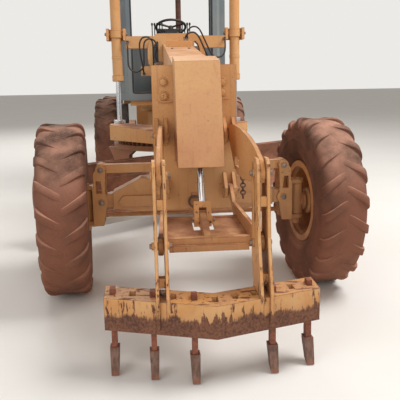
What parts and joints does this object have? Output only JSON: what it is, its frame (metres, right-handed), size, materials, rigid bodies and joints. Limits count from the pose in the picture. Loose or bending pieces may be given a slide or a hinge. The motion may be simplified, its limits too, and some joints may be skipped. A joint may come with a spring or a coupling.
{
  "type": "motor grader",
  "caption": "Articulated road-levelling machine with a turning curved blade under an arched beam, leaning front wheels, tandem drive and a front scarifier.",
  "frame": {"origin": "on the ground under the middle of the whole machine", "axes": "front to -Y, up +Z; the left pieces are at -X and the right ones at +X, as seen from the front"},
  "size_m": [3.0818, 9.9894, 3.295],
  "materials": {
    "paint": "worn ochre enamel with red dust",
    "grey_paint": "faded grey-blue enamel",
    "dark_metal": "dull dark enamel",
    "worn_steel": "scoured steel",
    "rusty": "rusty with red earth",
    "chrome": "chromed rod",
    "tyre": "dusty black rubber",
    "hose": "black hose",
    "lamp": "clear lens",
    "vinyl": "black vinyl"
  },
  "bodies": {
    "rear_frame": {"rear_frame": "paint", "rear_axle": "paint", "engine_block": "rusty", "hood": "paint", "exhaust": "rusty"},
    "front_frame": {"front_frame": "paint", "nose": "paint", "box_cover": "paint", "saddle": "paint", "front_axle": "paint", "cab": "grey_paint", "seat": "vinyl", "controls": "dark_metal", "hoses": "hose", "lamps": "lamp", "steps": "dark_metal"},
    "door_left": {"door_left": "grey_paint"},
    "door_right": {"door_right": "grey_paint"},
    "lean_left": {"lean_left": "paint"},
    "lean_right": {"lean_right": "paint"},
    "lean_bar": {"lean_bar": "paint"},
    "spindle_left": {"spindle_left": "paint"},
    "spindle_right": {"spindle_right": "paint"},
    "tie_rod_ball": {"tie_rod_ball": "dark_metal"},
    "tie_rod": {"tie_rod": "dark_metal"},
    "drawbar": {"drawbar": "paint"},
    "circle": {"circle": "rusty"},
    "blade_tilt": {"blade_tilt": "rusty"},
    "moldboard": {"moldboard": "worn_steel"},
    "lift_barrel_left": {"lift_barrel_left": "paint"},
    "lift_barrel_right": {"lift_barrel_right": "paint"},
    "lift_rod_left": {"lift_rod_left": "chrome"},
    "lift_rod_right": {"lift_rod_right": "chrome"},
    "upper_links": {"upper_links": "paint"},
    "lower_link": {"lower_link": "paint"},
    "scarifier": {"scarifier_frame": "paint", "tines": "rusty"},
    "scarifier_barrel": {"scarifier_barrel": "paint"},
    "scarifier_rod": {"scarifier_rod": "chrome"},
    "wheel_front_left": {"tyre_front_left": "tyre", "rim_front_left": "paint"},
    "wheel_front_right": {"tyre_front_right": "tyre", "rim_front_right": "paint"},
    "wheel_mid_left": {"tyre_mid_left": "tyre", "rim_mid_left": "paint"},
    "wheel_mid_right": {"tyre_mid_right": "tyre", "rim_mid_right": "paint"},
    "wheel_back_left": {"tyre_back_left": "tyre", "rim_back_left": "paint"},
    "wheel_back_right": {"tyre_back_right": "tyre", "rim_back_right": "paint"}
  },
  "joints": [
    {"name": "articulation", "type": "hinge", "parent": "rear_frame", "child": "front_frame", "pos_m": [0, 1.27969, 1.16], "axis": [0, 0, 1], "range_deg": [-20, 20]},
    {"name": "door_left_hinge", "type": "hinge", "parent": "front_frame", "child": "door_left", "pos_m": [-0.76, 0.42169, 2.2], "axis": [0, 0, 1], "range_deg": [0, 80]},
    {"name": "door_right_hinge", "type": "hinge", "parent": "front_frame", "child": "door_right", "pos_m": [0.76, 0.42169, 2.2], "axis": [0, 0, -1], "range_deg": [0, 80]},
    {"name": "wheel_lean", "type": "hinge", "parent": "front_frame", "child": "lean_left", "pos_m": [-0.73, -3.28031, 0.74], "axis": [0, 1, 0], "range_deg": [-18, 18]},
    {"name": "lean_right", "type": "hinge", "parent": "front_frame", "child": "lean_right", "pos_m": [0.73, -3.28031, 0.74], "axis": [0, 1, 0], "range_deg": [-18, 18]},
    {"name": "lean_bar_pin", "type": "hinge", "parent": "lean_left", "child": "lean_bar", "pos_m": [-0.73, -3.28031, 1], "axis": [0, 1, 0], "range_deg": [-18, 18]},
    {"name": "steering", "type": "hinge", "parent": "lean_left", "child": "spindle_left", "pos_m": [-0.858, -3.28031, 0.71], "axis": [0, 0, 1], "range_deg": [-45, 35]},
    {"name": "steer_right", "type": "hinge", "parent": "lean_right", "child": "spindle_right", "pos_m": [0.858, -3.28031, 0.71], "axis": [0, 0, 1], "range_deg": [-45, 35]},
    {"name": "tie_rod_turn", "type": "hinge", "parent": "spindle_left", "child": "tie_rod_ball", "pos_m": [-0.84966, -3.08886, 0.66], "axis": [0, 0, 1], "range_deg": [-35, 45]},
    {"name": "tie_rod_level", "type": "hinge", "parent": "tie_rod_ball", "child": "tie_rod", "pos_m": [-0.84966, -3.08886, 0.5743], "axis": [0, 1, 0], "range_deg": [-18, 18]},
    {"name": "spin_front_left", "type": "hinge", "parent": "spindle_left", "child": "wheel_front_left", "pos_m": [-1.02436, -3.29487, 0.685], "axis": [0.9962, 0.0872, 0], "continuous": true},
    {"name": "spin_front_right", "type": "hinge", "parent": "spindle_right", "child": "wheel_front_right", "pos_m": [1.02436, -3.26576, 0.685], "axis": [0.9962, 0.0872, 0], "continuous": true},
    {"name": "spin_mid_left", "type": "hinge", "parent": "rear_frame", "child": "wheel_mid_left", "pos_m": [-1.025, 2.04969, 0.685], "axis": [1, 0, 0], "continuous": true},
    {"name": "spin_mid_right", "type": "hinge", "parent": "rear_frame", "child": "wheel_mid_right", "pos_m": [1.025, 2.04969, 0.685], "axis": [1, 0, 0], "continuous": true},
    {"name": "spin_back_left", "type": "hinge", "parent": "rear_frame", "child": "wheel_back_left", "pos_m": [-1.025, 3.58969, 0.685], "axis": [1, 0, 0], "continuous": true},
    {"name": "spin_back_right", "type": "hinge", "parent": "rear_frame", "child": "wheel_back_right", "pos_m": [1.025, 3.58969, 0.685], "axis": [1, 0, 0], "continuous": true},
    {"name": "blade_lift", "type": "hinge", "parent": "front_frame", "child": "drawbar", "pos_m": [0, -2.95031, 0.92], "axis": [1, 0, 0], "range_deg": [-9, 10]},
    {"name": "lift_swing_left", "type": "hinge", "parent": "front_frame", "child": "lift_barrel_left", "pos_m": [-0.68, -0.95031, 2.19], "axis": [1, 0, 0], "range_deg": [-2.21, 1.99]},
    {"name": "lift_stroke_left", "type": "slide", "parent": "lift_barrel_left", "child": "lift_rod_left", "axis": [0, 0, -1], "range_m": [-0.34588, 0.3113]},
    {"name": "lift_swing_right", "type": "hinge", "parent": "front_frame", "child": "lift_barrel_right", "pos_m": [0.68, -0.95031, 2.19], "axis": [1, 0, 0], "range_deg": [-2.21, 1.99]},
    {"name": "lift_stroke_right", "type": "slide", "parent": "lift_barrel_right", "child": "lift_rod_right", "axis": [0, 0, -1], "range_m": [-0.34588, 0.3113]},
    {"name": "circle_turn", "type": "hinge", "parent": "drawbar", "child": "circle", "pos_m": [0, -0.78031, 0.95], "axis": [0, 0, 1], "continuous": true},
    {"name": "blade_tip", "type": "hinge", "parent": "circle", "child": "blade_tilt", "pos_m": [-0.02007, -0.75164, 0.33], "axis": [0.8192, 0.5736, 0], "range_deg": [-5, 35]},
    {"name": "blade_shift", "type": "slide", "parent": "blade_tilt", "child": "moldboard", "axis": [0.8192, 0.5736, 0], "range_m": [-0.45, 0.45]},
    {"name": "scarifier_lift", "type": "hinge", "parent": "front_frame", "child": "lower_link", "pos_m": [0, -3.70031, 0.88], "axis": [-1, 0, 0], "range_deg": [-15, 25]},
    {"name": "upper_link_pins", "type": "hinge", "parent": "front_frame", "child": "upper_links", "pos_m": [0, -3.70031, 1.29], "axis": [-1, 0, 0], "range_deg": [-15, 25]},
    {"name": "arm_pins", "type": "hinge", "parent": "lower_link", "child": "scarifier", "pos_m": [0, -4.70031, 0.75], "axis": [-1, 0, 0], "range_deg": [-25, 15]},
    {"name": "scarifier_cylinder_swing", "type": "hinge", "parent": "front_frame", "child": "scarifier_barrel", "pos_m": [0, -3.74031, 1.7], "axis": [-1, 0, 0], "range_deg": [-4.09, 6.8]},
    {"name": "scarifier_stroke", "type": "slide", "parent": "scarifier_barrel", "child": "scarifier_rod", "axis": [0, -0.4098, -0.9122], "range_m": [-0.16982, 0.10193]}
  ],
  "couplings": [
    {"joint": "lean_right", "follows": "wheel_lean", "ratio": 1},
    {"joint": "lean_bar_pin", "follows": "wheel_lean", "ratio": -1},
    {"joint": "steer_right", "follows": "steering", "ratio": 1},
    {"joint": "tie_rod_turn", "follows": "steering", "ratio": -1},
    {"joint": "tie_rod_level", "follows": "wheel_lean", "ratio": -1},
    {"joint": "lift_swing_left", "follows": "blade_lift", "ratio": -0.22006},
    {"joint": "lift_stroke_left", "follows": "blade_lift", "m_per_rad": -1.9812},
    {"joint": "lift_swing_right", "follows": "blade_lift", "ratio": -0.22006},
    {"joint": "lift_stroke_right", "follows": "blade_lift", "m_per_rad": -1.9812},
    {"joint": "upper_link_pins", "follows": "scarifier_lift", "ratio": 1},
    {"joint": "arm_pins", "follows": "scarifier_lift", "ratio": -1},
    {"joint": "scarifier_cylinder_swing", "follows": "scarifier_lift", "ratio": 0.27179},
    {"joint": "scarifier_stroke", "follows": "scarifier_lift", "m_per_rad": -0.38898}
  ]
}
